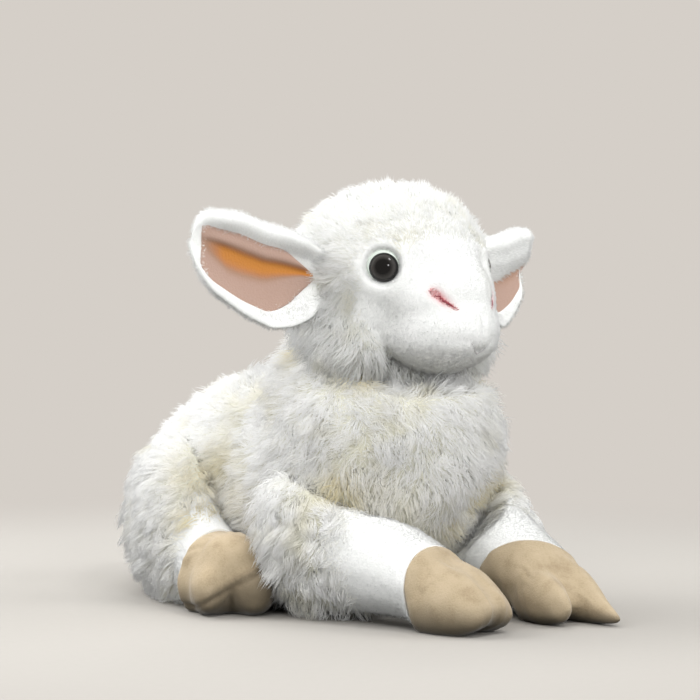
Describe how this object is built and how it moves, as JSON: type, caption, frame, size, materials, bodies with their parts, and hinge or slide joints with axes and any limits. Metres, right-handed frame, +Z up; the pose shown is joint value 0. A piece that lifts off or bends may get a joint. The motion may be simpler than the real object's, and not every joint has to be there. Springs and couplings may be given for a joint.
{
  "type": "plush lamb",
  "caption": "Soft plush lamb lying down, long white fur, short-plush face and legs, cloven beige hooves, lined ears, domed eyes; head, ears, legs and tail move.",
  "frame": {"origin": "middle of the flat belly panel's underside, on the floor", "axes": "+Z up, the lamb faces -Y, its right side is -X"},
  "size_m": [0.2147, 0.2821, 0.1913],
  "materials": {
    "fur": "matte",
    "short_plush": "matte",
    "filling": "matte",
    "hoof": "matte",
    "ear_lining": "matte",
    "eye": "gloss",
    "eye_backing": "satin",
    "thread": "satin",
    "washer": "matte"
  },
  "bodies": {
    "body": {"body_cover": "fur", "belly_panel": "fur", "body_filling": "filling"},
    "neck": {"neck_filling": "filling"},
    "head": {"head_cover": "fur", "face_panel": "short_plush", "chin_panel": "short_plush", "head_filling": "filling", "mouth_stitch": "thread", "nostril_right": "thread", "eye_right": "eye", "eye_backing_right": "eye_backing", "eye_washer_right": "washer", "nostril_left": "thread", "eye_left": "eye", "eye_backing_left": "eye_backing", "eye_washer_left": "washer"},
    "ear_right": {"ear_back_right": "short_plush", "ear_lining_right": "ear_lining"},
    "foreleg_right": {"foreleg_fur_right": "fur", "foreleg_sleeve_right": "short_plush", "fore_hoof_right": "hoof", "foreleg_filling_right": "filling"},
    "hindleg_right": {"thigh_fur_right": "fur", "hind_cuff_right": "short_plush", "hind_hoof_right": "hoof", "hind_filling_right": "filling"},
    "ear_left": {"ear_back_left": "short_plush", "ear_lining_left": "ear_lining"},
    "foreleg_left": {"foreleg_fur_left": "fur", "foreleg_sleeve_left": "short_plush", "fore_hoof_left": "hoof", "foreleg_filling_left": "filling"},
    "hindleg_left": {"thigh_fur_left": "fur", "hind_cuff_left": "short_plush", "hind_hoof_left": "hoof", "hind_filling_left": "filling"},
    "tail": {"tail": "fur"}
  },
  "joints": [
    {"name": "head_turn", "type": "hinge", "parent": "body", "child": "neck", "pos_m": [0, -0.069, 0.115], "axis": [0, 0, 1], "range_deg": [-20, 20]},
    {"name": "head_nod", "type": "hinge", "parent": "neck", "child": "head", "pos_m": [0, -0.069, 0.115], "axis": [1, 0, 0], "range_deg": [-6, 6]},
    {"name": "ear_right_swing", "type": "hinge", "parent": "head", "child": "ear_right", "pos_m": [-0.044, -0.074, 0.153], "axis": [0, 0, 1], "range_deg": [-18, 18]},
    {"name": "ear_left_swing", "type": "hinge", "parent": "head", "child": "ear_left", "pos_m": [0.044, -0.074, 0.153], "axis": [0, 0, -1], "range_deg": [-18, 18]},
    {"name": "foreleg_right_lift", "type": "hinge", "parent": "body", "child": "foreleg_right", "pos_m": [-0.0434, -0.0583, 0.0407], "axis": [-1, 0, 0], "range_deg": [0, 14]},
    {"name": "foreleg_left_lift", "type": "hinge", "parent": "body", "child": "foreleg_left", "pos_m": [0.0423, -0.0672, 0.0407], "axis": [-1, 0, 0], "range_deg": [0, 14]},
    {"name": "hindleg_right_lift", "type": "hinge", "parent": "body", "child": "hindleg_right", "pos_m": [-0.0485, 0.0168, 0.039], "axis": [-1, 0, 0], "range_deg": [0, 12]},
    {"name": "hindleg_left_lift", "type": "hinge", "parent": "body", "child": "hindleg_left", "pos_m": [0.0485, 0.0168, 0.039], "axis": [-1, 0, 0], "range_deg": [0, 12]},
    {"name": "tail_lift", "type": "hinge", "parent": "body", "child": "tail", "pos_m": [0, 0.081, 0.0782], "axis": [1, 0, 0], "range_deg": [0, 35]}
  ]
}
